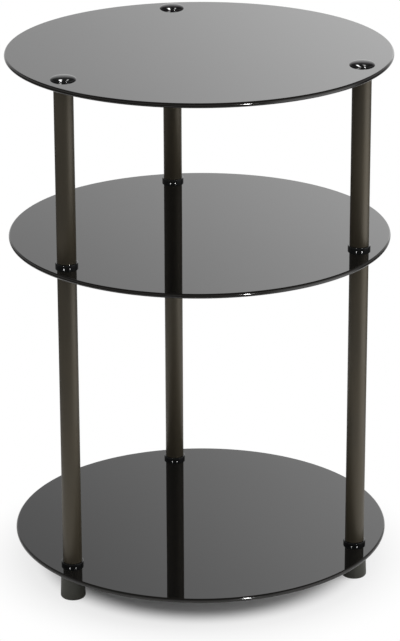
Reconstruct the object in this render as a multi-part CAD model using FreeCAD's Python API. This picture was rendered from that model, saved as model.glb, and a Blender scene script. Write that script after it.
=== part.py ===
import FreeCAD, Part
import math
import os

# Round side table: three black glass shelves on three posts that screw together through the glass.
# Millimetres, +Z up, origin on the floor at the middle of the table.
# One post stands at the rear (+Y), the others at the front left and front right.

# Glass shelves, with a ground and polished pencil edge
SHELF_DIAMETER = 400.0
GLASS_THICKNESS = 5.0
PENCIL_EDGE = 1.5
HOLE_ARRIS = 0.4

# Posts, evenly spaced and counted on from the first one's angle, and the clear heights of the two tiers
POSTS = ("rear", "left", "right")
FIRST_POST_ANGLE = 90.0
POST_INSET = 25.0
LOWER_TIER = 327.0
UPPER_TIER = 190.0

# Painted steel tubes
TUBE_DIAMETER = 20.0
TUBE_WALL = 1.0
TUBE_EDGE = 0.25
TUBE_FIT = 0.1

# Moulded plug in the top end of each tube, with a flange that keeps the steel off the glass
PLUG_FLANGE = 1.2
PLUG_LENGTH = 18.0
PLUG_ROOF = 6.0
LEAD_IN = 0.8

# Moulded collar at the bottom end of each tube: a cup round the tube and a spigot inside it
COLLAR_HEIGHT = 3.6
COLLAR_WALL = 1.7
COLLAR_EDGE = 0.6
COLLAR_FLOOR = 1.6
SPIGOT_LENGTH = 14.0
BOLT_SEAT = 7.0

# Button caps over the top shelf
CAP_DIAMETER = 26.0
CAP_HEIGHT = 3.8
CAP_RIM = 0.4
CAP_FLAT = 2.0
CAP_RECESS = 0.4
SCREW_PLATE = 1.8

# Moulded feet, flared a little towards the floor
FOOT_HEIGHT = 33.0
FOOT_TOP_DIAMETER = 24.0
FOOT_FLARE = 1.25
FOOT_TOP_EDGE = 0.5
FOOT_SOLE_RADIUS = 3.0
FOOT_ROOF = 6.0

# Six-millimetre steel bolts, screws and nuts
BOLT_DIAMETER = 6.0
HEX_FLATS = 10.0
BOLT_HEAD = 4.0
NUT_HEIGHT = 5.0
BOLT_TIP = 2.0
TIP_CHAMFER = 0.8
THREAD_CLEARANCE = 0.1
HEX_CLEARANCE = 0.1
BOLT_CLEARANCE = 0.3
GLASS_CLEARANCE = 1.0

# Radii that several pieces share
SHELF_R = SHELF_DIAMETER / 2
POST_R = SHELF_R - POST_INSET
TUBE_R = TUBE_DIAMETER / 2
BORE_R = TUBE_R - TUBE_WALL
FITTING_R = BORE_R - TUBE_FIT
BOLT_R = BOLT_DIAMETER / 2
BOLT_HOLE_R = BOLT_R + BOLT_CLEARANCE
GLASS_HOLE_R = BOLT_R + GLASS_CLEARANCE
HEX_POCKET = HEX_FLATS + 2 * HEX_CLEARANCE

# Levels: the top face of each shelf
BOTTOM_LEVEL = FOOT_HEIGHT + GLASS_THICKNESS
MIDDLE_LEVEL = BOTTOM_LEVEL + LOWER_TIER + GLASS_THICKNESS
TOP_LEVEL = MIDDLE_LEVEL + UPPER_TIER + GLASS_THICKNESS

# How far a bolt reaches below the top face of the glass that it goes through
PLUG_REACH = GLASS_THICKNESS + PLUG_ROOF + NUT_HEIGHT + BOLT_TIP
FOOT_REACH = GLASS_THICKNESS + FOOT_ROOF + NUT_HEIGHT + BOLT_TIP

ORIGIN = FreeCAD.Vector(0, 0, 0)
UP = FreeCAD.Vector(0, 0, 1)


def point(radius, height):
    return FreeCAD.Vector(radius, 0, height)


def turned(*steps):
    """A solid turned about Z. Each step is a corner (radius, height), or a pair: a point that an arc
    passes through, or a curved edge, and the corner where it ends."""
    first = steps[0]
    here = first
    edges = []
    for step in steps[1:] + (first,):
        if isinstance(step[0], tuple):
            middle, end = step
            edges.append(Part.Arc(point(*here), point(*middle), point(*end)).toShape())
        elif isinstance(step[0], Part.Edge):
            edge, end = step
            edges.append(edge)
        else:
            end = step
            edges.append(Part.LineSegment(point(*here), point(*end)).toShape())
        here = end
    return Part.Face(Part.Wire(edges)).revolve(ORIGIN, UP, 360)


def hexagon(flats, bottom, height):
    corner = flats / 2 / math.cos(math.pi / 6)
    corners = [FreeCAD.Vector(corner * math.cos(k * math.pi / 3), corner * math.sin(k * math.pi / 3), bottom)
               for k in range(6)]
    return Part.Face(Part.makePolygon(corners + corners[:1])).extrude(UP * height)


def hex_blank(bottom, height):
    """The blank of a bolt's head or a nut: a hexagon with its corners turned off at both ends."""
    flat_r = HEX_FLATS / 2
    corner_r = flat_r / math.cos(math.pi / 6)
    slope = (corner_r - flat_r) * math.tan(math.pi / 6)
    top = bottom + height
    barrel = turned((0, bottom), (flat_r, bottom), (corner_r, bottom + slope), (corner_r, top - slope),
                    (flat_r, top), (0, top))
    return hexagon(HEX_FLATS, bottom, height).common(barrel)


def raised(shape, height):
    copy = shape.copy()
    copy.translate(UP * height)
    return copy


def at_post(shape, post, height):
    """A copy of a piece that was made on the Z axis, on the named post."""
    angle = FIRST_POST_ANGLE + 360 * POSTS.index(post) / len(POSTS)
    copy = shape.copy()
    copy.translate(point(POST_R, height))
    copy.rotate(ORIGIN, UP, angle)
    return copy


def on_every_post(shape, height):
    return Part.makeCompound([at_post(shape, post, height) for post in POSTS])


def shelf():
    """A glass disc with its top face at zero and a hole at each post."""
    face_r = SHELF_R - PENCIL_EDGE
    disc = turned((0, -GLASS_THICKNESS), (face_r, -GLASS_THICKNESS),
                  ((SHELF_R, -GLASS_THICKNESS / 2), (face_r, 0)), (0, 0))
    wide = GLASS_HOLE_R + HOLE_ARRIS
    hole = turned((0, -GLASS_THICKNESS), (wide, -GLASS_THICKNESS),
                  (GLASS_HOLE_R, HOLE_ARRIS - GLASS_THICKNESS), (GLASS_HOLE_R, -HOLE_ARRIS),
                  (wide, 0), (0, 0))
    for post in POSTS:
        disc = disc.cut(at_post(hole, post, 0))
    return disc


def tube(length):
    """A tube that stands on zero, with its cut ends deburred."""
    return turned((BORE_R, 0), (TUBE_R - TUBE_EDGE, 0), (TUBE_R, TUBE_EDGE), (TUBE_R, length - TUBE_EDGE),
                  (TUBE_R - TUBE_EDGE, length), (BORE_R, length))


def plug():
    """The top plug of a tube, its flange's top face at zero, with a pocket for a nut that opens downwards."""
    bottom = -PLUG_FLANGE - PLUG_LENGTH
    body = turned((BOLT_HOLE_R, bottom), (FITTING_R - LEAD_IN, bottom), (FITTING_R, bottom + LEAD_IN),
                  (FITTING_R, -PLUG_FLANGE), (TUBE_R, -PLUG_FLANGE), (TUBE_R, 0), (BOLT_HOLE_R, 0))
    return body.cut(hexagon(HEX_POCKET, bottom, -PLUG_ROOF - bottom))


def collar():
    """The bottom fitting of a tube, standing on zero, with a pocket for a bolt's head that opens upwards."""
    cup_r = TUBE_R + TUBE_FIT
    rim_r = cup_r + COLLAR_WALL
    top = COLLAR_FLOOR + SPIGOT_LENGTH
    turn = COLLAR_EDGE * (1 - math.sqrt(0.5))
    body = turned((BOLT_HOLE_R, 0), (rim_r, 0), (rim_r, COLLAR_HEIGHT - COLLAR_EDGE),
                  ((rim_r - turn, COLLAR_HEIGHT - turn), (rim_r - COLLAR_EDGE, COLLAR_HEIGHT)),
                  (cup_r, COLLAR_HEIGHT), (cup_r, COLLAR_FLOOR), (FITTING_R, COLLAR_FLOOR),
                  (FITTING_R, top - LEAD_IN), (FITTING_R - LEAD_IN, top), (BOLT_HOLE_R, top))
    return body.cut(hexagon(HEX_POCKET, BOLT_SEAT, top - BOLT_SEAT))


def cap():
    """A button cap, standing on zero: an elliptical dome with a small flat on a low rim, and a pocket underneath."""
    rim_r, flat_r = CAP_DIAMETER / 2, CAP_FLAT / 2
    sweep = math.acos(flat_r / rim_r)
    crown = CAP_RIM + (CAP_HEIGHT - CAP_RIM) / math.sin(sweep)
    ellipse = Part.Ellipse(point(rim_r, CAP_RIM), point(0, crown), point(0, CAP_RIM))
    dome = Part.ArcOfEllipse(ellipse, 0, sweep).toShape()
    body = turned((0, 0), (rim_r, 0), (rim_r, CAP_RIM), (dome, (flat_r, CAP_HEIGHT)), (0, CAP_HEIGHT))
    return body.cut(hexagon(HEX_POCKET, 0, CAP_RECESS + SCREW_PLATE))


def foot():
    """A foot that stands on zero, with a pocket for a nut that opens downwards."""
    top_r = FOOT_TOP_DIAMETER / 2
    sole_r = top_r + FOOT_FLARE
    turn = FOOT_SOLE_RADIUS * (1 - math.sqrt(0.5))
    body = turned((BOLT_HOLE_R, 0), (sole_r - FOOT_SOLE_RADIUS, 0),
                  ((sole_r - turn, turn), (sole_r, FOOT_SOLE_RADIUS)),
                  (top_r, FOOT_HEIGHT - FOOT_TOP_EDGE), (top_r - FOOT_TOP_EDGE, FOOT_HEIGHT),
                  (BOLT_HOLE_R, FOOT_HEIGHT))
    return body.cut(hexagon(HEX_POCKET, 0, FOOT_HEIGHT - FOOT_ROOF))


def shank(top, bottom):
    return turned((0, bottom), (BOLT_R - TIP_CHAMFER, bottom), (BOLT_R, bottom + TIP_CHAMFER),
                  (BOLT_R, top), (0, top))


def bolt(reach):
    """A bolt whose head sits on the seat in a collar. Zero is the top face of the glass below it."""
    return shank(BOLT_SEAT, -reach).fuse(hex_blank(BOLT_SEAT, BOLT_HEAD)).removeSplitter()


def cap_screw():
    """A screw with a flat six-sided plate for a head, which is moulded into a cap."""
    return shank(CAP_RECESS, -PLUG_REACH).fuse(hexagon(HEX_FLATS, CAP_RECESS, SCREW_PLATE)).removeSplitter()


def nut(top):
    """A nut whose upper face is at the given height."""
    bottom = top - NUT_HEIGHT
    bore = Part.makeCylinder(BOLT_R + THREAD_CLEARANCE, NUT_HEIGHT, UP * bottom)
    return hex_blank(bottom, NUT_HEIGHT).cut(bore)


def tier(name, level, clear_height, reach):
    """The pieces of one tier, by node: on each post a collar on the shelf at this level, a tube and a plug
    under the next shelf. The tier's bolts and nuts are one node each."""
    tube_length = clear_height - COLLAR_FLOOR - PLUG_FLANGE
    kinds = {
        "collar": (collar(), level),
        "tube": (tube(tube_length), level + COLLAR_FLOOR),
        "plug": (plug(), level + clear_height),
    }
    pieces = {f"{name}_{kind}_{post}": at_post(shape, post, height)
              for kind, (shape, height) in kinds.items() for post in POSTS}
    pieces[f"{name}_bolts"] = on_every_post(bolt(reach), level)
    pieces[f"{name}_nuts"] = on_every_post(nut(-PLUG_ROOF), level + clear_height)
    return pieces


def table():
    pieces = {}
    for name, level in (("bottom", BOTTOM_LEVEL), ("middle", MIDDLE_LEVEL), ("top", TOP_LEVEL)):
        pieces[f"shelf_{name}"] = raised(shelf(), level)
    for post in POSTS:
        pieces[f"foot_{post}"] = at_post(foot(), post, 0)
        pieces[f"cap_{post}"] = at_post(cap(), post, TOP_LEVEL)
    pieces["foot_nuts"] = on_every_post(nut(FOOT_HEIGHT - FOOT_ROOF), 0)
    pieces["cap_screws"] = on_every_post(cap_screw(), TOP_LEVEL)
    pieces.update(tier("lower", BOTTOM_LEVEL, LOWER_TIER, FOOT_REACH))
    pieces.update(tier("upper", MIDDLE_LEVEL, UPPER_TIER, PLUG_REACH))
    return pieces


os.makedirs("parts", exist_ok=True)
for node, shape in table().items():
    shape.exportStep(f"parts/{node}.step")
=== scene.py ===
import math

import bmesh
import bpy
from bpy.props import FloatProperty, FloatVectorProperty, IntProperty, PointerProperty
from mathutils import Euler, Matrix, Vector


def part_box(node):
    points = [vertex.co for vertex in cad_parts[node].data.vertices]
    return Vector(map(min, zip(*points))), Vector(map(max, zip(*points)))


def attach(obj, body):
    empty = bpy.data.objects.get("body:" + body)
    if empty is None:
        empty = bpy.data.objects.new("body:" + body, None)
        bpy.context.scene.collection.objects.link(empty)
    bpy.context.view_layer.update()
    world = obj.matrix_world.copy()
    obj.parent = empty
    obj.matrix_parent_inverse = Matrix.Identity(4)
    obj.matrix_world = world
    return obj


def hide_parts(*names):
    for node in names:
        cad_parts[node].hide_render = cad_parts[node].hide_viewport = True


bl_info = {
    "name": "Tiered side table",
    "version": (1, 0, 0),
    "blender": (4, 5, 0),
    "location": "3D View > Sidebar > Side Table",
    "description": "Dresses the frame of a round three-tier glass side table and sets up its studio",
    "category": "Object",
}

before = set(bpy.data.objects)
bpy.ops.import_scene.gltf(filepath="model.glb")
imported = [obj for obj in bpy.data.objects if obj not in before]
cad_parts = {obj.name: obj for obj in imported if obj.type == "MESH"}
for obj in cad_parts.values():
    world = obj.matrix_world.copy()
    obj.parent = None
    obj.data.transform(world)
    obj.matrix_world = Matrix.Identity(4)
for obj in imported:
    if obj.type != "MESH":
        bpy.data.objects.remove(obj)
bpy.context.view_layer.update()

POSTS = ("rear", "left", "right")
SHELVES = ("bottom", "middle", "top")
TIERS = ("lower", "upper")
HEX_SIDES = 6
# How far, in metres, a vertex may be from a circle and still count as on it
NEAR = 2e-5
# How close, in metres, two vertices have to be to become one
MERGE = NEAR / 10
# An edge whose faces turn by this or more is shaded as a corner
SHARP = math.radians(20)


def width_of(node):
    """A node's size from left to right."""
    low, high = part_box(node)
    return high.x - low.x


def height_of(node):
    """A node's size from bottom to top."""
    low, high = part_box(node)
    return high.z - low.z


def foot_of(node):
    """The point on a round node's axis at its lowest level."""
    low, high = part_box(node)
    return Vector(((low.x + high.x) / 2, (low.y + high.y) / 2, low.z))


def length(name, description, default):
    return FloatProperty(name=name, description=description, default=default, min=0, precision=5,
                         unit="LENGTH")


def colour(name, description, default):
    return FloatVectorProperty(name=name, description=description, default=default, min=0, max=1,
                               subtype="COLOR")


def share(name, description, default):
    return FloatProperty(name=name, description=description, default=default, min=0, max=1,
                         subtype="FACTOR")


def power(name, description, default):
    return FloatProperty(name=name, description=description, default=default, min=0, unit="POWER")


def angle(name, description, degrees):
    return FloatProperty(name=name, description=description, default=math.radians(degrees),
                         subtype="ANGLE")


def brightness(name, description, default):
    return FloatProperty(name=name, description=description, default=default, min=0)


def place(name, description, default):
    return FloatVectorProperty(name=name, description=description, default=default, subtype="TRANSLATION")


def sides(name, description, default):
    return FloatVectorProperty(name=name, description=description, default=default, size=2, min=0,
                               unit="LENGTH")


def optics(name, description, default):
    return FloatProperty(name=name, description=description, default=default, min=0, unit="CAMERA")


def facets(name, description, default):
    return IntProperty(name=name, description=description, default=default, min=3)


class ShelfSettings(bpy.types.PropertyGroup):
    """Sizes of the glass shelves"""

    diameter: length("Diameter", "Width of the round glass", width_of("shelf_top"))
    thickness: length("Thickness", "Thickness of the glass", height_of("shelf_top"))
    edge_depth: length("Edge depth", "How far the pencil edge stands out from the flat faces", 0.0015)
    edge_blend: length("Edge blend", "How far the polish runs over into the ground edge", 0.0002)
    hole: length("Hole", "Diameter of a bolt hole", 0.008)
    hole_arris: length("Hole arris", "Ground corner of a bolt hole", 0.0004)
    edge_steps: facets("Edge steps", "Facets across the pencil edge", 14)
    rim_steps: facets("Rim steps", "Facets round the rim", 360)
    hole_steps: facets("Hole steps", "Facets round a bolt hole", 40)


class PostSettings(bpy.types.PropertyGroup):
    """Sizes of the tubes and collars, and of the holes and pockets that all moulded fittings share"""

    tube_diameter: length("Tube diameter", "Outside of the steel tubes", width_of("upper_tube_rear"))
    tube_wall: length("Tube wall", "Wall of the steel tubes", 0.001)
    tube_edge: length("Tube edge", "Deburred corner of a cut end", 0.00025)
    collar_diameter: length("Collar diameter", "Widest part of a collar", width_of("upper_collar_rear"))
    collar_height: length("Collar height", "Height of the cup round the tube", 0.0036)
    collar_edge: length("Collar edge", "Rounding of the cup's upper corner", 0.0006)
    collar_floor: length("Collar floor", "Floor of the cup, on which the tube stands", 0.0016)
    cup_gap: length("Cup gap", "Play between the tube and the collar", 0.0001)
    spigot_lead: length("Spigot lead", "Chamfer at the upper end of the spigot", 0.0008)
    bolt_seat: length("Bolt seat", "Height of the bolt head's seat above the glass", 0.007)
    bolt_hole: length("Bolt hole", "Hole for a bolt in a moulded fitting", 0.0066)
    hex_pocket: length("Hex pocket", "Distance across the flats of the pockets", 0.0102)
    round_steps: facets("Round steps", "Facets round a post", 96)
    edge_steps: facets("Edge steps", "Facets across a small corner", 3)
    collar_steps: facets("Collar steps", "Facets across a collar's upper corner", 6)


class CapSettings(bpy.types.PropertyGroup):
    """Sizes of the button caps"""

    diameter: length("Diameter", "Width of a cap", width_of("cap_rear"))
    height: length("Height", "Height of a cap", height_of("cap_rear"))
    rim: length("Rim", "Upright part of the cap's edge", 0.0004)
    flat: length("Flat", "Width of the small flat on the dome", 0.002)
    pocket: length("Pocket", "Depth of the pocket for the screw's plate", 0.0022)
    dome_steps: facets("Dome steps", "Facets from the rim up to the flat", 24)


class FootSettings(bpy.types.PropertyGroup):
    """Sizes of the feet"""

    diameter: length("Diameter", "Widest part of a foot", width_of("foot_rear"))
    height: length("Height", "Height of a foot", height_of("foot_rear"))
    top_diameter: length("Top diameter", "Width under the glass", 0.024)
    top_edge: length("Top edge", "Corner under the glass", 0.0005)
    sole_edge: length("Sole edge", "Rounding towards the floor", 0.003)
    roof: length("Roof", "Thickness over the nut's pocket", 0.006)
    sole_steps: facets("Sole steps", "Facets across the rounding towards the floor", 8)


class FinishSettings(bpy.types.PropertyGroup):
    """Colours of the materials, and how rough they are"""

    glass: colour("Glass", "Body colour of the black glass", (0.0035, 0.0037, 0.0040))
    glass_edge: colour("Glass edge", "Colour of the glass at its ground edge", (0.0050, 0.0040, 0.0030))
    glass_rough: share("Glass roughness", "Roughness of the polished face", 0.012)
    smear_rough: share("Smear roughness", "What a wiped smear adds to it", 0.035)
    edge_rough: share("Edge roughness", "What the ground edge adds to it", 0.085)
    dust_rough: share("Dust roughness", "What a speck of dust adds to it", 0.25)
    paint: colour("Paint", "Colour of the tubes' powder coat", (0.0275, 0.0230, 0.0145))
    paint_warm: colour("Paint, warm", "Warmer cloud in the powder coat", (0.0340, 0.0270, 0.0156))
    paint_sheen: colour("Paint sheen", "Tint of the powder coat's gloss", (1.0, 0.91, 0.76))
    paint_rough: share("Paint roughness", "Roughness of the powder coat", 0.42)
    gloss: colour("Gloss plastic", "Colour of the caps and collars", (0.003, 0.003, 0.003))
    gloss_rough: share("Gloss roughness", "Roughness of the caps and collars", 0.07)
    foot: colour("Foot plastic", "Colour of the feet", (0.040, 0.040, 0.031))
    foot_rough: share("Foot roughness", "Roughness of the feet", 0.36)
    plug: colour("Plug plastic", "Colour of the tube plugs", (0.018, 0.018, 0.018))
    plug_rough: share("Plug roughness", "Roughness of the tube plugs", 0.5)
    zinc: colour("Zinc", "Colour of the plated bolts and nuts", (0.60, 0.61, 0.62))
    zinc_rough: share("Zinc roughness", "Roughness of the plated bolts and nuts", 0.2)


class StudioSettings(bpy.types.PropertyGroup):
    """The camera, the floor, what gloss shows of the studio, and the lamps"""

    camera: place("Camera", "Where the camera stands", (-0.4903, -2.8838, 1.3523))
    heading: angle("Heading", "Which way the camera looks, from +Y towards -X", -9.65)
    tilt: angle("Tilt", "How far the camera is tilted up from straight down", 69.67)
    roll: angle("Roll", "Turn of the camera about its line of sight", -0.19)
    focal: optics("Focal length", "Lens, in millimetres", 165.17)
    sensor: optics("Sensor", "Longer side of the picture behind the lens, in millimetres", 36)
    sight: length("Sight", "How far the camera sees", 100)

    floor_tone: share("Floor tone", "How pale the floor is", 0.94)
    floor_size: length("Floor size", "Half the width of the floor", 12)
    floor_gap: length("Floor gap", "How far the floor lies under the feet", 0.0003)
    near: length("Near", "How far out the floor is as it is lit, with the table's shadow on it", 0.145)
    pale: length("Pale", "How far out the floor is nearly white", 0.185)
    far: length("Far", "How far out the floor is plain white", 0.26)
    pale_share: share("Pale share", "How much of the way to white the floor has gone where it is pale", 0.75)
    # Between these two distances, gloss goes over from the floor as it is lit to a painted floor: a painted
    # glow on the right and painted shade in front and on the left
    lit_floor: length("Lit floor", "How far out gloss shows the floor as it is lit", 0.3)
    plain_floor: length("Plain floor", "How far out gloss shows the floor's plain level", 0.9)
    ambient: share("Ambient", "Light from all round", 0.85)

    behind: angle("Behind", "Direction of the white backdrop, from +X towards +Y", 78)
    behind_core: angle("Behind, core", "How far to its sides the backdrop is quite white", 18)
    behind_edge: angle("Behind, edge", "How far to its sides the backdrop ends", 46)
    beside: angle("Beside", "Direction of the bright side on the right, from +X towards +Y", -29)
    beside_core: angle("Beside, core", "How far to its sides the right is quite bright", 12)
    beside_edge: angle("Beside, edge", "How far to its sides the bright right ends", 37)
    backdrop: share("Backdrop", "What gloss shows of the backdrop and of the wall on the right", 0.93)
    # Painted light: gloss shows the far floor glowing on the right, brighter than the pale floor would be
    # when lit, and painted dark in front and on the left
    bright_floor: brightness("Bright floor", "What gloss shows of the floor on the right", 1.75)
    dim_floor: share("Dim floor", "What gloss shows of the floor in front and on the left", 0.10)
    dim_wall: share("Dim wall", "What gloss shows of the walls in front and on the left", 0.45)
    wall_fade: angle("Wall fade", "How high up the walls start to darken", 15)
    wall_top: angle("Wall top", "How high up the walls end", 30)
    wall_share: share("Wall share", "What is left of the walls' level at their top", 0.5)
    ceiling: share("Ceiling", "What gloss shows of the studio overhead", 0.12)
    ceiling_edge: angle("Ceiling edge", "How high up the studio overhead begins", 35)

    aim: place("Aim", "The point that the lamps face", (0, 0, 0.3))
    key_place: place("Key place", "A small lamp for the caps and collars, in front on the left",
                     (-1.77, -2.30, 1.38))
    key_size: sides("Key size", "Its width and height", (0.28, 0.28))
    key_power: power("Key power", "Its power", 45.0)
    fill_place: place("Fill place", "A small lamp for the caps and collars, in front on the right",
                      (1.01, -2.72, 1.38))
    fill_size: sides("Fill size", "Its width and height", (0.14, 0.14))
    fill_power: power("Fill power", "Its power", 40.0)
    low_place: place("Low place", "A low strip for the shelves' rims, in front on the right",
                     (0.82, -2.78, 0.30))
    low_size: sides("Low size", "Its width and height", (0.14, 0.60))
    low_power: power("Low power", "Its power", 50.0)
    side_place: place("Side place", "A soft box for matt surfaces, on the right", (3.81, -1.21, 1.45))
    side_size: sides("Side size", "Its width and height", (2.6, 2.6))
    side_power: power("Side power", "Its power", 65.0)
    panel_place: place("Panel place", "A wide panel for all but the caps, behind on the right",
                       (1.40, 3.00, 1.45))
    panel_size: sides("Panel size", "Its width and height", (3.0, 2.2))
    panel_power: power("Panel power", "Its power", 18.0)
    sheen_place: place("Sheen place", "A soft panel for the glass seen from above, overhead behind",
                       (0.0, 1.80, 2.00))
    sheen_turn: angle("Sheen turn", "Its turn about the upright axis", -90)
    sheen_size: sides("Sheen size", "Its width and length", (3.20, 2.40))
    sheen_power: power("Sheen power", "Its power", 84.0)
    left_strip_place: place("Left strip place", "A strip for the caps, high up on the left",
                            (-1.36, -0.85, 5.05))
    left_strip_turn: angle("Left strip turn", "Its turn about the upright axis", -14)
    left_strip_size: sides("Left strip size", "Its width and length", (0.90, 10.5))
    left_strip_power: power("Left strip power", "Its power", 900.0)
    right_strip_place: place("Right strip place", "A strip for the caps, high up on the right",
                             (1.08, -0.85, 5.05))
    right_strip_turn: angle("Right strip turn", "Its turn about the upright axis", -3)
    right_strip_size: sides("Right strip size", "Its width and length", (0.60, 10.5))
    right_strip_power: power("Right strip power", "Its power", 150.0)
    slow_fade: share("Slow fade", "Share of a wide lamp over which its first side fades in", 0.5)
    quick_fade: share("Quick fade", "Share of a wide lamp over which its other side and its ends fade", 0.2)


class SideTableSettings(bpy.types.PropertyGroup):
    """All settings of the table and its studio"""

    shelf: PointerProperty(type=ShelfSettings)
    post: PointerProperty(type=PostSettings)
    cap: PointerProperty(type=CapSettings)
    foot: PointerProperty(type=FootSettings)
    finish: PointerProperty(type=FinishSettings)
    studio: PointerProperty(type=StudioSettings)


class Wire:
    """A socket in a node tree. Sums written with it add Math nodes, and node() adds any other node."""

    def __init__(self, tree, socket=None):
        self.tree = tree
        self.socket = socket

    def node(self, kind, settings=None, sockets=None):
        """Add a node and return its outputs by name. Its settings come first, then its sockets."""
        made = self.tree.nodes.new(kind)
        for key, value in (settings or {}).items():
            setattr(made, key, value)
        for key, value in (sockets or {}).items():
            socket = made.inputs[key] if isinstance(key, int) else self.named(made.inputs, key)
            if isinstance(value, Wire):
                self.tree.links.new(value.socket, socket)
            else:
                socket.default_value = value
        return {output.name: Wire(self.tree, output) for output in made.outputs if output.enabled}

    @staticmethod
    def named(sockets, name):
        """The socket of that name which is in use."""
        return next(socket for socket in sockets if socket.enabled and socket.name == name)

    def maths(self, operation, first, second):
        return self.node("ShaderNodeMath", {"operation": operation}, {0: first, 1: second})["Value"]

    def __add__(self, other):
        return self.maths("ADD", self, other)

    def __radd__(self, other):
        return self.maths("ADD", other, self)

    def __sub__(self, other):
        return self.maths("SUBTRACT", self, other)

    def __rsub__(self, other):
        return self.maths("SUBTRACT", other, self)

    def __mul__(self, other):
        return self.maths("MULTIPLY", self, other)

    def __rmul__(self, other):
        return self.maths("MULTIPLY", other, self)

    def __gt__(self, other):
        return self.maths("GREATER_THAN", self, other)

    def __lt__(self, other):
        return self.maths("LESS_THAN", self, other)

    def smooth(self, low, high):
        """Zero below low and one above high, with a soft change between them."""
        sockets = {"Value": self, "From Min": low, "From Max": high}
        return self.node("ShaderNodeMapRange", {"interpolation_type": "SMOOTHSTEP"}, sockets)["Result"]


def blank(name):
    """A new material with an empty node tree, and the wire that adds nodes to it."""
    material = bpy.data.materials.new(name)
    material.use_nodes = True
    material.node_tree.nodes.clear()
    return material, Wire(material.node_tree)


def coat(wire, sockets):
    """Give a material its surface shader."""
    shader = wire.node("ShaderNodeBsdfPrincipled", None, sockets)["BSDF"]
    wire.node("ShaderNodeOutputMaterial", None, {"Surface": shader})


def noise(wire, where, scale, detail=2.0):
    """A soft random pattern, from zero to one."""
    return wire.node("ShaderNodeTexNoise", None, {"Vector": where, "Scale": scale, "Detail": detail})["Fac"]


def cells(wire, where, scale):
    """How far a place is from the middle of its random cell."""
    return wire.node("ShaderNodeTexVoronoi", None, {"Vector": where, "Scale": scale})["Distance"]


def bump(wire, height, distance, strength):
    """A surface that a pattern raises and lowers a little."""
    sockets = {"Height": height, "Distance": distance, "Strength": strength}
    return wire.node("ShaderNodeBump", None, sockets)["Normal"]


def mixed(wire, factor, first, second):
    """A colour between two others."""
    sockets = {"Factor": factor, "A": tuple(first) + (1,), "B": tuple(second) + (1,)}
    return wire.node("ShaderNodeMix", {"data_type": "RGBA"}, sockets)["Result"]


def shaded(tone, times):
    """A darker or lighter colour."""
    return tuple(channel * times for channel in tone)


def level_part(wire, vector):
    """A place or direction without its height."""
    part = wire.node("ShaderNodeSeparateXYZ", None, {"Vector": vector})
    return wire.node("ShaderNodeCombineXYZ", None, {"X": part["X"], "Y": part["Y"]})["Vector"]


def from_axis(wire, where):
    """How far a place is from the upright axis of the table."""
    return wire.node("ShaderNodeVectorMath", {"operation": "LENGTH"}, {0: level_part(wire, where)})["Value"]


def rays(wire):
    """Two switches: on for what the camera sees, and on for what gloss or glass shows."""
    path = wire.node("ShaderNodeLightPath")
    return path["Is Camera Ray"], path["Is Glossy Ray"] + path["Is Transmission Ray"]


def polished_glass(settings):
    """Black glass: a polished face with wiped smears and a little dust, and a ground edge."""
    material, wire = blank("polished_glass")
    look, shelf = settings.finish, settings.shelf
    where = wire.node("ShaderNodeTexCoord")["Object"]
    face_r = shelf.diameter / 2 - shelf.edge_depth
    edge = from_axis(wire, where).smooth(face_r - shelf.edge_blend, face_r + shelf.edge_blend)
    wiped = noise(wire, where, scale=7.0, detail=3.0).smooth(0.42, 0.72)
    smear = wiped * noise(wire, where, scale=55.0, detail=4.0)
    speck = cells(wire, where, scale=420.0) < 0.07
    dust = speck * (noise(wire, where, scale=30.0) > 0.62)
    wave = noise(wire, where, scale=5.0, detail=0.0)
    grind = noise(wire, where, scale=900.0) * edge * 0.0006
    rough = smear * look.smear_rough + edge * look.edge_rough + dust * look.dust_rough + look.glass_rough
    coat(wire, {
        "Base Color": mixed(wire, edge, look.glass, look.glass_edge),
        "Roughness": rough,
        "IOR": 1.52,
        "Normal": bump(wire, wave + grind, distance=0.0003, strength=0.5),
    })
    return material


def powder_coat(settings):
    """Dark bronze powder coat: a satin skin with the fine dimples of sprayed and baked paint."""
    material, wire = blank("powder_coat")
    look = settings.finish
    where = wire.node("ShaderNodeTexCoord")["Object"]
    cloud = noise(wire, where, scale=14.0, detail=3.0).smooth(0.3, 0.7)
    peel = noise(wire, where, scale=650.0, detail=1.0)
    grain = noise(wire, where, scale=2600.0, detail=1.0)
    coat(wire, {
        "Base Color": mixed(wire, cloud, look.paint, look.paint_warm),
        "Roughness": cloud * 0.05 + grain * 0.10 + look.paint_rough,
        "IOR": 1.5,
        "Specular IOR Level": 0.90,
        "Specular Tint": tuple(look.paint_sheen) + (1,),
        "Normal": bump(wire, peel + grain * 0.35, distance=0.00003, strength=0.55),
    })
    return material


def moulded_gloss(settings):
    """Glossy black moulded plastic with a trace of flow marks and handling."""
    material, wire = blank("moulded_gloss")
    tone = settings.finish.gloss
    where = wire.node("ShaderNodeTexCoord")["Object"]
    flow = noise(wire, where, scale=180.0, detail=3.0)
    wear = noise(wire, where, scale=1400.0).smooth(0.62, 0.8)
    coat(wire, {
        "Base Color": mixed(wire, wear * 0.5, tone, shaded(tone, times=2.2)),
        "Roughness": flow * 0.05 + wear * 0.08 + settings.finish.gloss_rough,
        "IOR": 1.5,
        "Normal": bump(wire, flow, distance=0.00002, strength=0.3),
    })
    return material


def moulded_foot(settings):
    """Satin moulded plastic with a fine grain from the mould."""
    material, wire = blank("moulded_foot")
    tone = settings.finish.foot
    where = wire.node("ShaderNodeTexCoord")["Object"]
    grain = noise(wire, where, scale=1900.0)
    cloud = noise(wire, where, scale=60.0)
    coat(wire, {
        "Base Color": mixed(wire, cloud, shaded(tone, times=0.8), shaded(tone, times=1.2)),
        "Roughness": grain * 0.14 + settings.finish.foot_rough,
        "IOR": 1.48,
        "Normal": bump(wire, grain, distance=0.00004, strength=0.4),
    })
    return material


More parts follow.
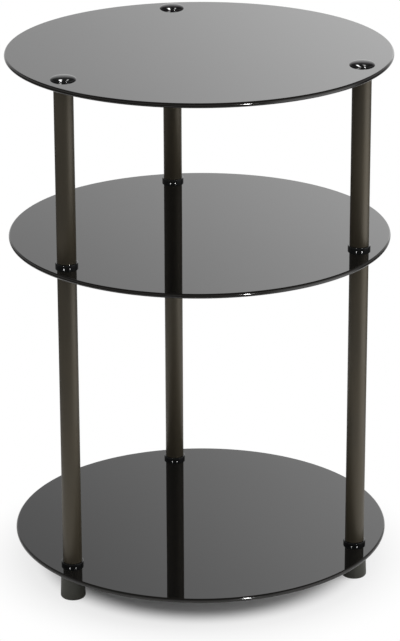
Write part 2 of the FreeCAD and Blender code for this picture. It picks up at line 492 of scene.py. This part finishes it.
def moulded_plug(settings):
    """Matt black plastic of the tube plugs."""
    material, wire = blank("moulded_plug")
    tone = settings.finish.plug
    where = wire.node("ShaderNodeTexCoord")["Object"]
    grain = noise(wire, where, scale=1500.0)
    coat(wire, {
        "Base Color": mixed(wire, grain, shaded(tone, times=0.75), shaded(tone, times=1.25)),
        "Roughness": grain * 0.2 + settings.finish.plug_rough,
        "Normal": bump(wire, grain, distance=0.00005, strength=0.4),
    })
    return material


def zinc_plate(settings):
    """Bright zinc plate on steel, with its small crystals."""
    material, wire = blank("zinc_plate")
    tone = settings.finish.zinc
    where = wire.node("ShaderNodeTexCoord")["Object"]
    crystal = cells(wire, where, scale=900.0)
    haze = noise(wire, where, scale=300.0, detail=3.0)
    coat(wire, {
        "Base Color": mixed(wire, crystal, tone, shaded(tone, times=0.8)),
        "Metallic": 1.0,
        "Roughness": haze * 0.2 + crystal * 0.1 + settings.finish.zinc_rough,
        "Normal": bump(wire, haze, distance=0.00002, strength=0.3),
    })
    return material


FINISHES = {
    "black_glass": polished_glass,
    "tube_paint": powder_coat,
    "gloss_plastic": moulded_gloss,
    "foot_plastic": moulded_foot,
    "plug_plastic": moulded_plug,
    "zinc_steel": zinc_plate,
}


def finish(slot):
    """The material for a slot of the record, made when it is first needed."""
    make = FINISHES[slot]
    return bpy.data.materials.get(make.__name__) or make(bpy.context.scene.side_table)


def line(bm, axis, *corners):
    """A line of corners (radius, height) beside an axis. Returns its vertices."""
    verts = [bm.verts.new(axis + Vector((radius, 0, height))) for radius, height in corners]
    for pair in zip(verts, verts[1:]):
        bm.edges.new(pair)
    return verts


def arc(bm, start, centre, sweep, steps):
    """Carry a line on from a vertex along an arc, over the top and outwards. Returns the arc's end."""
    swept = bmesh.ops.spin(bm, geom=[start], cent=centre, axis=(0, 1, 0), dvec=(0, 0, 0), angle=sweep,
                           steps=steps)
    return swept["geom_last"][0]


def turn(bm, axis, steps):
    """Turn every loose line once round an axis."""
    edges = [edge for edge in bm.edges if edge.is_wire]
    verts = list({vert for edge in edges for vert in edge.verts})
    bmesh.ops.spin(bm, geom=verts + edges, cent=axis, axis=(0, 0, 1), dvec=(0, 0, 0), angle=math.tau,
                   steps=steps, use_merge=True)
    bmesh.ops.remove_doubles(bm, verts=bm.verts, dist=MERGE)


def ring(bm, axis, radius, height):
    """The edges on a circle about an axis."""
    def on_it(vert):
        away = vert.co - axis
        return abs(away.xy.length - radius) < NEAR and abs(away.z - height) < NEAR
    return [edge for edge in bm.edges if all(on_it(vert) for vert in edge.verts)]


def soften(bm, edges, offset, segments):
    """Round a corner off."""
    bmesh.ops.bevel(bm, geom=edges, offset=offset, offset_type="OFFSET", affect="EDGES",
                    segments=segments, profile=0.5, material=-1)


def flat_face(bm, edges):
    """A flat face between its outline and its holes."""
    bmesh.ops.triangle_fill(bm, edges=edges, use_beauty=True, use_dissolve=False, normal=(0, 0, 1))


def hex_pocket(bm, axis, outline, mouth, floor, flats, hole):
    """Close an outline round a six-sided pocket. Hole is the ring in the pocket's floor, if there is one."""
    corner = flats / 2 / math.cos(math.pi / HEX_SIDES)
    at_mouth = Matrix.Translation(axis + Vector((0, 0, mouth)))
    bmesh.ops.create_circle(bm, radius=corner, segments=HEX_SIDES, matrix=at_mouth)
    lip = ring(bm, axis, corner, mouth)
    flat_face(bm, outline + lip)
    walls = bmesh.ops.extrude_edge_only(bm, edges=lip)["geom"]
    moved = [item for item in walls if isinstance(item, bmesh.types.BMVert)]
    bmesh.ops.translate(bm, verts=moved, vec=(0, 0, floor - mouth))
    flat_face(bm, ring(bm, axis, corner, floor) + hole)


def dress(name, bm, slot, *nodes):
    """Finish a piece: merge its seams, turn its faces out, and let it stand for its CAD nodes."""
    bmesh.ops.remove_doubles(bm, verts=bm.verts, dist=MERGE)
    bmesh.ops.recalc_face_normals(bm, faces=bm.faces)
    for face in bm.faces:
        face.smooth = True
    for edge in bm.edges:
        edge.smooth = edge.is_manifold and edge.calc_face_angle() < SHARP
    mesh = bpy.data.meshes.new(name)
    bm.to_mesh(mesh)
    bm.free()
    mesh.materials.append(finish(slot))
    piece = bpy.data.objects.new(name, mesh)
    bpy.context.scene.collection.objects.link(piece)
    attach(piece, "root")
    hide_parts(*nodes)


class SIDETABLE_OT_shelves(bpy.types.Operator):
    """Make the three round glass shelves, with a pencil edge and a hole at each post"""

    bl_idname = "side_table.shelves"
    bl_label = "Glass shelves"

    def execute(self, context):
        settings = context.scene.side_table.shelf
        radius, depth = settings.diameter / 2, settings.edge_depth
        half = settings.thickness / 2
        # The pencil edge is an arc from one flat face to the other
        edge_r = (half ** 2 + depth ** 2) / (2 * depth)
        sweep = 2 * math.asin(half / edge_r)
        hole_r = settings.hole / 2
        mouth_r = hole_r + settings.hole_arris
        for shelf in SHELVES:
            node = f"shelf_{shelf}"
            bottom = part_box(node)[0].z
            axis = Vector((0, 0, bottom))
            levels = (0, settings.thickness)
            bm = bmesh.new()
            start = line(bm, axis, (radius - depth, settings.thickness))[0]
            arc(bm, start, axis + Vector((radius - edge_r, 0, half)), sweep, settings.edge_steps)
            turn(bm, axis, settings.rim_steps)
            outlines = {level: ring(bm, axis, radius - depth, level) for level in levels}
            for post in POSTS:
                hole = foot_of(f"cap_{post}")
                hole.z = bottom
                line(bm, hole, (mouth_r, settings.thickness),
                     (hole_r, settings.thickness - settings.hole_arris), (hole_r, settings.hole_arris),
                     (mouth_r, 0))
                turn(bm, hole, settings.hole_steps)
                for level in levels:
                    outlines[level] += ring(bm, hole, mouth_r, level)
            for level in levels:
                flat_face(bm, outlines[level])
            dress(f"glass_{shelf}", bm, "black_glass", node)
        return {"FINISHED"}


class SIDETABLE_OT_tubes(bpy.types.Operator):
    """Make the six painted steel tubes"""

    bl_idname = "side_table.tubes"
    bl_label = "Painted tubes"

    def execute(self, context):
        settings = context.scene.side_table.post
        outer = settings.tube_diameter / 2
        inner = outer - settings.tube_wall
        for tier in TIERS:
            for post in POSTS:
                node = f"{tier}_tube_{post}"
                axis, top = foot_of(node), height_of(node)
                bm = bmesh.new()
                corners = line(bm, axis, (inner, 0), (outer, 0), (outer, top), (inner, top))
                bm.edges.new((corners[-1], corners[0]))
                turn(bm, axis, settings.round_steps)
                for level in (0, top):
                    soften(bm, ring(bm, axis, outer, level), settings.tube_edge, settings.edge_steps)
                dress(f"{tier}_post_{post}", bm, "tube_paint", node)
        return {"FINISHED"}


class SIDETABLE_OT_collars(bpy.types.Operator):
    """Make the glossy collars at the foot of each tube, with the spigot that goes up into it"""

    bl_idname = "side_table.collars"
    bl_label = "Collars"

    def execute(self, context):
        settings = context.scene.side_table.post
        rim = settings.collar_diameter / 2
        cup = settings.tube_diameter / 2 + settings.cup_gap
        spigot = settings.tube_diameter / 2 - settings.tube_wall - settings.cup_gap
        bolt = settings.bolt_hole / 2
        high, lead = settings.collar_height, settings.spigot_lead
        for tier in TIERS:
            for post in POSTS:
                node = f"{tier}_collar_{post}"
                axis, top = foot_of(node), height_of(node)
                bm = bmesh.new()
                line(bm, axis, (bolt, settings.bolt_seat), (bolt, 0), (rim, 0), (rim, high), (cup, high),
                     (cup, settings.collar_floor), (spigot, settings.collar_floor), (spigot, top - lead),
                     (spigot - lead, top))
                turn(bm, axis, settings.round_steps)
                hex_pocket(bm, axis, ring(bm, axis, spigot - lead, top), top, settings.bolt_seat,
                           settings.hex_pocket, ring(bm, axis, bolt, settings.bolt_seat))
                soften(bm, ring(bm, axis, rim, high), settings.collar_edge, settings.collar_steps)
                dress(f"{tier}_ring_{post}", bm, "gloss_plastic", node)
        return {"FINISHED"}


class SIDETABLE_OT_caps(bpy.types.Operator):
    """Make the three button caps over the top shelf"""

    bl_idname = "side_table.caps"
    bl_label = "Button caps"

    def execute(self, context):
        settings, post_settings = context.scene.side_table.cap, context.scene.side_table.post
        rim = settings.diameter / 2
        # The dome is a round arc from the rim to the flat, pressed down to the cap's height
        sweep = math.acos(settings.flat / settings.diameter)
        crown = (settings.height - settings.rim) / math.sin(sweep)
        for post in POSTS:
            node = f"cap_{post}"
            axis = foot_of(node)
            centre = axis + Vector((0, 0, settings.rim))
            bm = bmesh.new()
            start = line(bm, axis, (rim, settings.rim))[0]
            end = arc(bm, start, centre, -sweep, settings.dome_steps)
            bmesh.ops.scale(bm, vec=(1, 1, crown / rim), space=Matrix.Translation(-centre),
                            verts=bm.verts)
            bm.edges.new((start, line(bm, axis, (rim, 0))[0]))
            bm.edges.new((end, line(bm, axis, (0, settings.height))[0]))
            turn(bm, axis, post_settings.round_steps)
            hex_pocket(bm, axis, ring(bm, axis, rim, 0), 0, settings.pocket, post_settings.hex_pocket,
                       hole=[])
            dress(f"button_{post}", bm, "gloss_plastic", node)
        return {"FINISHED"}


class SIDETABLE_OT_feet(bpy.types.Operator):
    """Make the three moulded feet, each with the pocket for its nut underneath"""

    bl_idname = "side_table.feet"
    bl_label = "Feet"

    def execute(self, context):
        settings, post_settings = context.scene.side_table.foot, context.scene.side_table.post
        top, wide = settings.top_diameter / 2, settings.diameter / 2
        high, sole = settings.height, settings.sole_edge
        # The side is carried on down to the floor, and is at its widest where the rounding begins
        corner = wide + (wide - top) * sole / (high - sole - settings.top_edge)
        bolt = post_settings.bolt_hole / 2
        roof = high - settings.roof
        ledge = wide - 2 * sole
        for post in POSTS:
            node = f"foot_{post}"
            axis = foot_of(node)
            bm = bmesh.new()
            line(bm, axis, (bolt, roof), (bolt, high), (top, high), (corner, 0), (ledge, 0))
            turn(bm, axis, post_settings.round_steps)
            hex_pocket(bm, axis, ring(bm, axis, ledge, 0), 0, roof, post_settings.hex_pocket,
                       ring(bm, axis, bolt, roof))
            soften(bm, ring(bm, axis, corner, 0), sole, settings.sole_steps)
            soften(bm, ring(bm, axis, top, high), settings.top_edge, post_settings.edge_steps)
            dress(f"stand_{post}", bm, "foot_plastic", node)
        return {"FINISHED"}


class SIDETABLE_OT_fittings(bpy.types.Operator):
    """Give the plugs, bolts and nuts of the frame their finish"""

    bl_idname = "side_table.fittings"
    bl_label = "Plugs and bolts"

    def execute(self, context):
        plugs = [f"{tier}_plug_{post}" for tier in TIERS for post in POSTS]
        metal = [f"{tier}_{kind}" for tier in TIERS for kind in ("bolts", "nuts")]
        metal += ["cap_screws", "foot_nuts"]
        for slot, nodes in (("plug_plastic", plugs), ("zinc_steel", metal)):
            for node in nodes:
                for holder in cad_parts[node].material_slots:
                    holder.material = finish(slot)
        return {"FINISHED"}


class SIDETABLE_OT_studio(bpy.types.Operator):
    """Set up the pale floor, the soft studio light and the camera"""

    bl_idname = "side_table.studio"
    bl_label = "Studio"

    def execute(self, context):
        settings = context.scene.side_table.studio
        self.floor(context, settings)
        self.surroundings(context, settings)
        self.lamps(context, settings)
        self.camera(context, settings)
        context.scene.view_settings.view_transform = "Standard"
        return {"FINISHED"}

    def floor(self, context, settings):
        """A wide flat floor under the feet."""
        bm = bmesh.new()
        bmesh.ops.create_grid(bm, x_segments=1, y_segments=1, size=settings.floor_size,
                              matrix=Matrix.Translation((0, 0, -settings.floor_gap)))
        mesh = bpy.data.meshes.new("floor")
        bm.to_mesh(mesh)
        bm.free()
        mesh.materials.append(self.pale_floor(settings))
        ground = bpy.data.objects.new("floor", mesh)
        context.scene.collection.objects.link(ground)

    def pale_floor(self, settings):
        """A pale floor that keeps the table's shadow near it and is plain white farther out. Farther out,
        gloss sees it painted: a painted glow on the right and painted shade in front and on the left.
        """
        material, wire = blank("pale_floor")
        seen, mirrored = rays(wire)
        tone = (settings.floor_tone,) * 3 + (1,)
        pale = wire.node("ShaderNodeBsdfDiffuse", None, {"Color": tone})["BSDF"]
        where = wire.node("ShaderNodeTexCoord")["Object"]
        away = from_axis(wire, where)
        fade = away.smooth(settings.near, settings.pale) * settings.pale_share
        fade = fade + away.smooth(settings.pale, settings.far) * (1 - settings.pale_share)
        # For gloss the far floor is painted light: it glows on the right and is painted dark in front and on
        # the left, whatever light reaches it
        lift = seen * fade + mirrored * away.smooth(settings.lit_floor, settings.plain_floor)
        studio = self.around(wire, where, settings, settings.bright_floor, settings.dim_floor)
        white = wire.node("ShaderNodeEmission", None, {"Strength": seen + mirrored * studio})["Emission"]
        surface = wire.node("ShaderNodeMixShader", None, {0: lift, 1: pale, 2: white})["Shader"]
        wire.node("ShaderNodeOutputMaterial", None, {"Surface": surface})
        return material

    def around(self, wire, towards, settings, right, elsewhere):
        """How bright gloss shows the studio: white behind, and as given on the right and elsewhere."""
        level = level_part(wire, towards)
        ahead = wire.node("ShaderNodeVectorMath", {"operation": "NORMALIZE"}, {0: level})["Vector"]

        def facing(heading, core, edge):
            """One in the direction of a heading, and zero away from it."""
            side = (math.cos(heading), math.sin(heading), 0)
            dot = wire.node("ShaderNodeVectorMath", {"operation": "DOT_PRODUCT"}, {0: ahead, 1: side})
            return dot["Value"].smooth(math.cos(edge), math.cos(core))

        behind = facing(settings.behind, settings.behind_core, settings.behind_edge)
        beside = facing(settings.beside, settings.beside_core, settings.beside_edge)
        return behind * (settings.backdrop - elsewhere) + beside * (right - elsewhere) + elsewhere

    def surroundings(self, context, settings):
        """White for the camera, even light for matt surfaces, and for gloss a studio with walls."""
        world = bpy.data.worlds.new("studio")
        world.use_nodes = True
        world.node_tree.nodes.clear()
        context.scene.world = world
        wire = Wire(world.node_tree)
        seen, mirrored = rays(wire)
        towards = wire.node("ShaderNodeTexCoord")["Generated"]
        height = wire.node("ShaderNodeSeparateXYZ", None, {"Vector": towards})["Z"]
        levels = (settings.wall_fade, settings.wall_top, settings.ceiling_edge)
        fade, top, edge = (math.sin(level) for level in levels)
        walls = self.around(wire, towards, settings, settings.backdrop, settings.dim_wall)
        walls = walls * (1 - height.smooth(fade, top) * (1 - settings.wall_share))
        studio = walls + height.smooth(top, edge) * (settings.ceiling - walls)
        strength = seen * (1 - settings.ambient) + mirrored * (studio - settings.ambient) + settings.ambient
        sockets = {"Color": (1, 1, 1, 1), "Strength": strength}
        light = wire.node("ShaderNodeBackground", None, sockets)["Background"]
        wire.node("ShaderNodeOutputWorld", None, {"Surface": light})

    def lamps(self, context, settings):
        """The lamps: the side box and the panel light the table, and the others only put highlights on it."""
        names = ("key", "fill", "low", "side", "panel", "sheen", "left_strip", "right_strip")
        made = [self.lamp(context, settings, name) for name in names]
        key, fill, low, side, panel, sheen, left, right = made
        panel.rotation_euler = (-math.pi / 2, 0, 0)
        sheen.rotation_euler = (0, 0, settings.sheen_turn)
        left.rotation_euler = (0, 0, settings.left_strip_turn)
        right.rotation_euler = (0, 0, settings.right_strip_turn)
        for wide in (panel, sheen, left, right):
            self.feather(wide.data, settings)
        buttons = [f"button_{post}" for post in POSTS]
        rings = [f"{tier}_ring_{post}" for tier in TIERS for post in POSTS]
        glass = [f"glass_{shelf}" for shelf in SHELVES]
        for shine, pieces in ((key, buttons + rings), (fill, buttons + rings), (low, glass),
                              (sheen, glass), (left, buttons), (right, buttons)):
            shine.visible_diffuse = False
            self.limit(shine, pieces, "INCLUDE")
        self.limit(panel, buttons, "EXCLUDE")
        side.visible_glossy = False

    def lamp(self, context, settings, name):
        """A lamp from the settings that bear its name, facing the table."""
        light = bpy.data.lights.new(name, "AREA")
        light.shape = "RECTANGLE"
        light.size, light.size_y = getattr(settings, f"{name}_size")
        light.energy = getattr(settings, f"{name}_power")
        lamp = bpy.data.objects.new(name, light)
        lamp.location = getattr(settings, f"{name}_place")
        lamp.rotation_euler = (lamp.location - settings.aim).to_track_quat("Z", "Y").to_euler()
        lamp.visible_camera = False
        context.scene.collection.objects.link(lamp)
        return lamp

    def limit(self, lamp, pieces, state):
        """Let a lamp light only the named pieces (INCLUDE), or all but these (EXCLUDE)."""
        named = bpy.data.collections.new(f"{lamp.name}_pieces")
        for piece in pieces:
            named.objects.link(bpy.data.objects[piece])
        for member in named.collection_objects:
            member.light_linking.link_state = state
        lamp.light_linking.receiver_collection = named

    def feather(self, light, settings):
        """Let a wide lamp fade out towards its sides and ends."""
        light.use_nodes = True
        light.node_tree.nodes.clear()
        wire = Wire(light.node_tree)
        spot = wire.node("ShaderNodeNewGeometry")["Parametric"]
        part = wire.node("ShaderNodeSeparateXYZ", None, {"Vector": spot})
        slow, quick = settings.slow_fade, settings.quick_fade
        across = part["X"].smooth(0, slow) * (1 - part["X"].smooth(1 - quick, 1))
        along = part["Y"].smooth(0, quick) * (1 - part["Y"].smooth(1 - quick, 1))
        glow = wire.node("ShaderNodeEmission", None, {"Strength": across * along})["Emission"]
        wire.node("ShaderNodeOutputLight", None, {"Surface": glow})

    def camera(self, context, settings):
        """The camera that sees the table as the photograph shows it."""
        lens = bpy.data.cameras.new("camera")
        lens.lens = settings.focal
        lens.sensor_width = settings.sensor
        lens.clip_end = settings.sight
        camera = bpy.data.objects.new("camera", lens)
        aim = Euler((settings.tilt, 0, settings.heading)).to_matrix()
        camera.location = settings.camera
        camera.rotation_euler = (aim @ Matrix.Rotation(settings.roll, 3, "Z")).to_euler()
        context.scene.collection.objects.link(camera)
        context.scene.camera = camera


PIECES = (SIDETABLE_OT_shelves, SIDETABLE_OT_tubes, SIDETABLE_OT_collars, SIDETABLE_OT_caps,
          SIDETABLE_OT_feet, SIDETABLE_OT_fittings, SIDETABLE_OT_studio)


class SIDETABLE_PT_panel(bpy.types.Panel):
    """The table's pieces and the studio, in the order in which they are made"""

    bl_idname = "SIDETABLE_PT_panel"
    bl_label = "Tiered side table"
    bl_space_type = "VIEW_3D"
    bl_region_type = "UI"
    bl_category = "Side Table"

    def draw(self, context):
        for piece in PIECES:
            self.layout.operator(piece.bl_idname)


CLASSES = (ShelfSettings, PostSettings, CapSettings, FootSettings, FinishSettings, StudioSettings,
           SideTableSettings) + PIECES + (SIDETABLE_PT_panel,)


def register():
    for each in CLASSES:
        bpy.utils.register_class(each)
    bpy.types.Scene.side_table = PointerProperty(type=SideTableSettings)


def unregister():
    del bpy.types.Scene.side_table
    for each in reversed(CLASSES):
        bpy.utils.unregister_class(each)


def main():
    """Make all pieces and the studio."""
    register()
    bpy.ops.side_table.shelves()
    bpy.ops.side_table.tubes()
    bpy.ops.side_table.collars()
    bpy.ops.side_table.caps()
    bpy.ops.side_table.feet()
    bpy.ops.side_table.fittings()
    bpy.ops.side_table.studio()


if __name__ == "__main__":
    main()
